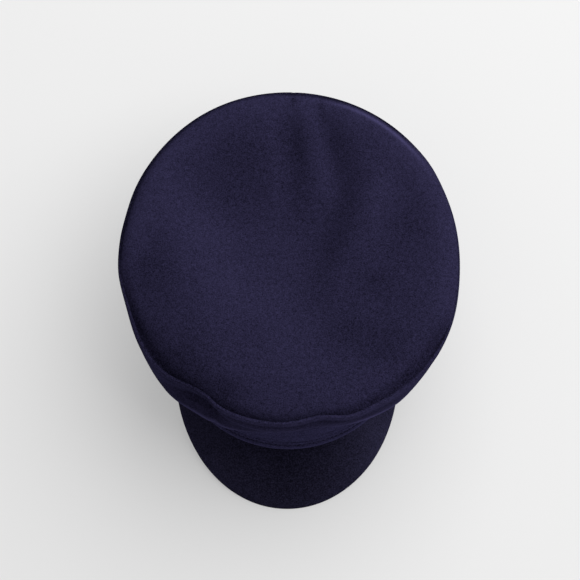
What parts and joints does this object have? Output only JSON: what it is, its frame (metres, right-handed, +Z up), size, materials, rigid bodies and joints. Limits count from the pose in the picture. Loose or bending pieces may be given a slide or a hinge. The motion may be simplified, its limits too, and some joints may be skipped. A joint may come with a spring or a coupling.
{
  "type": "greek fisherman cap",
  "caption": "Soft navy wool fisherman cap with a flat round crown, a spreading side wall, an upright head band and a short stiff curved peak.",
  "frame": {"origin": "on the table under the middle of the cap's box, as the cap lies by itself", "axes": "+Z up from the table, -Y towards the peak, +X to the wearer's left"},
  "size_m": [0.2402, 0.2924, 0.1294],
  "materials": {
    "crown_cloth": "navy wool with a short matt nap",
    "band_cloth": "navy wool with a short matt nap",
    "peak_cloth": "navy wool drawn smooth over a stiff board"
  },
  "bodies": {
    "root": {"crown_tip": "crown_cloth", "crown_side": "crown_cloth", "band": "band_cloth", "peak": "peak_cloth"}
  },
  "joints": []
}
